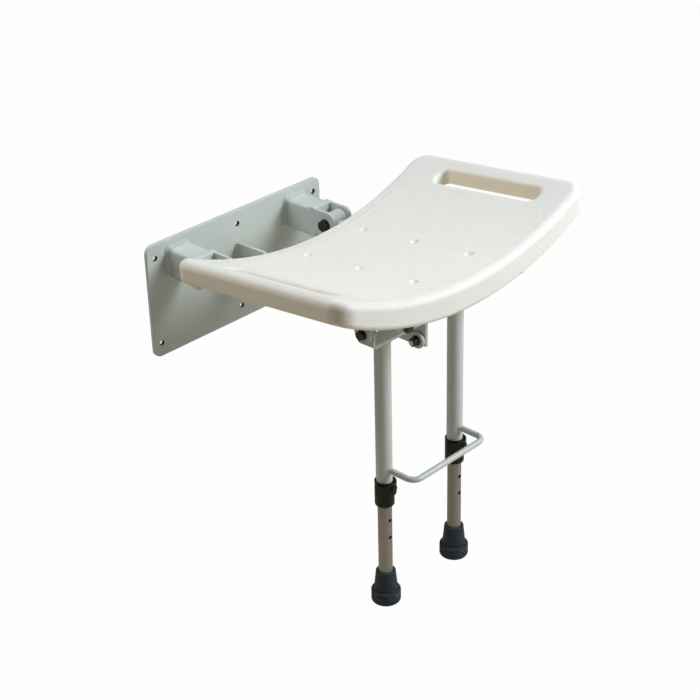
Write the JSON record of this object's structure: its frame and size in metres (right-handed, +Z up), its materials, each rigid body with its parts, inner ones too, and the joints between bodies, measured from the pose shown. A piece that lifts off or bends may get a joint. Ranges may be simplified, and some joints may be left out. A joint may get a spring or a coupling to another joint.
{
  "type": "wall-mounted folding shower seat",
  "caption": "Wall-mounted shower seat whose saddle-shaped board folds up on two arms while its adjustable legs, steered by a link, stay upright.",
  "frame": {"origin": "middle of the wall plate's back face, which lies on the wall", "axes": "+X to the right of someone who faces the wall, +Y into the wall, +Z up"},
  "size_m": [0.543, 0.5011, 0.6163],
  "materials": {
    "grey_green_paint": "light grey-green powder coat, satin",
    "seat_plastic": "off-white blow-moulded polyethylene, pebbled on top",
    "dark_steel": "blackened steel",
    "bright_steel": "zinc-plated steel",
    "bush_nylon": "natural nylon",
    "cap_rubber": "dark slate-blue rubber",
    "foot_rubber": "blue-grey rubber",
    "black_plastic": "black moulded plastic, satin",
    "anodised_tube": "anodised aluminium, warm grey"
  },
  "bodies": {
    "wall": {"wall_plate": "grey_green_paint", "left_arm_tube": "grey_green_paint", "right_arm_tube": "grey_green_paint", "left_arm_fork": "grey_green_paint", "right_arm_fork": "grey_green_paint", "centre_bracket": "grey_green_paint", "arm_pivot_bolts": "dark_steel", "arm_pivot_nuts": "dark_steel", "arm_pivot_washers": "dark_steel", "bracket_pivot_bolt": "bright_steel", "bracket_pivot_nut": "dark_steel", "bracket_pivot_washers": "dark_steel"},
    "seat": {"seat_board": "seat_plastic", "left_seat_rail": "grey_green_paint", "right_seat_rail": "grey_green_paint", "left_pivot_boss": "grey_green_paint", "right_pivot_boss": "grey_green_paint", "left_pivot_bush": "bush_nylon", "right_pivot_bush": "bush_nylon", "left_rail_end_cap": "cap_rubber", "right_rail_end_cap": "cap_rubber", "front_cross_strap": "grey_green_paint", "rear_cross_strap": "grey_green_paint", "seat_screws": "bright_steel", "left_hinge_lug": "grey_green_paint", "right_hinge_lug": "grey_green_paint", "leg_hinge_bolts": "dark_steel", "leg_hinge_nuts": "dark_steel", "leg_hinge_washers": "dark_steel"},
    "legs": {"leg_crossbar": "grey_green_paint", "link_lug": "grey_green_paint", "lug_pivot_bolt": "bright_steel", "lug_pivot_nut": "dark_steel", "lug_pivot_washers": "dark_steel", "left_leg_tube": "grey_green_paint", "right_leg_tube": "grey_green_paint", "lift_rod": "grey_green_paint", "left_collar": "black_plastic", "right_collar": "black_plastic"},
    "link": {"link_bar": "grey_green_paint"},
    "left_lower_leg": {"left_lower_tube": "anodised_tube", "left_foot": "foot_rubber", "left_foot_disc": "bright_steel"},
    "right_lower_leg": {"right_lower_tube": "anodised_tube", "right_foot": "foot_rubber", "right_foot_disc": "bright_steel"},
    "left_clip": {"left_leg_clip": "black_plastic"},
    "right_clip": {"right_leg_clip": "black_plastic"}
  },
  "joints": [
    {"name": "seat_fold", "type": "hinge", "parent": "wall", "child": "seat", "pos_m": [0, -0.098, 0.06], "axis": [-1, 0, 0], "range_deg": [0, 84]},
    {"name": "leg_fold", "type": "hinge", "parent": "seat", "child": "legs", "pos_m": [0, -0.392, 0.052], "axis": [1, 0, 0], "range_deg": [0, 84]},
    {"name": "link_swing", "type": "hinge", "parent": "wall", "child": "link", "pos_m": [0, -0.1, 0.006], "axis": [-1, 0, 0], "range_deg": [0, 84]},
    {"name": "left_leg_height", "type": "slide", "parent": "legs", "child": "left_lower_leg", "axis": [0, 0, -1], "range_m": [-0.093, 0.093]},
    {"name": "left_clip_pull", "type": "slide", "parent": "legs", "child": "left_clip", "axis": [0, -1, 0], "range_m": [0, 0.006], "stiffness_N_per_m": 800},
    {"name": "right_leg_height", "type": "slide", "parent": "legs", "child": "right_lower_leg", "axis": [0, 0, -1], "range_m": [-0.093, 0.093]},
    {"name": "right_clip_pull", "type": "slide", "parent": "legs", "child": "right_clip", "axis": [0, -1, 0], "range_m": [0, 0.006], "stiffness_N_per_m": 800}
  ],
  "couplings": [
    {"joint": "leg_fold", "follows": "seat_fold", "ratio": 1},
    {"joint": "link_swing", "follows": "seat_fold", "ratio": 1}
  ]
}
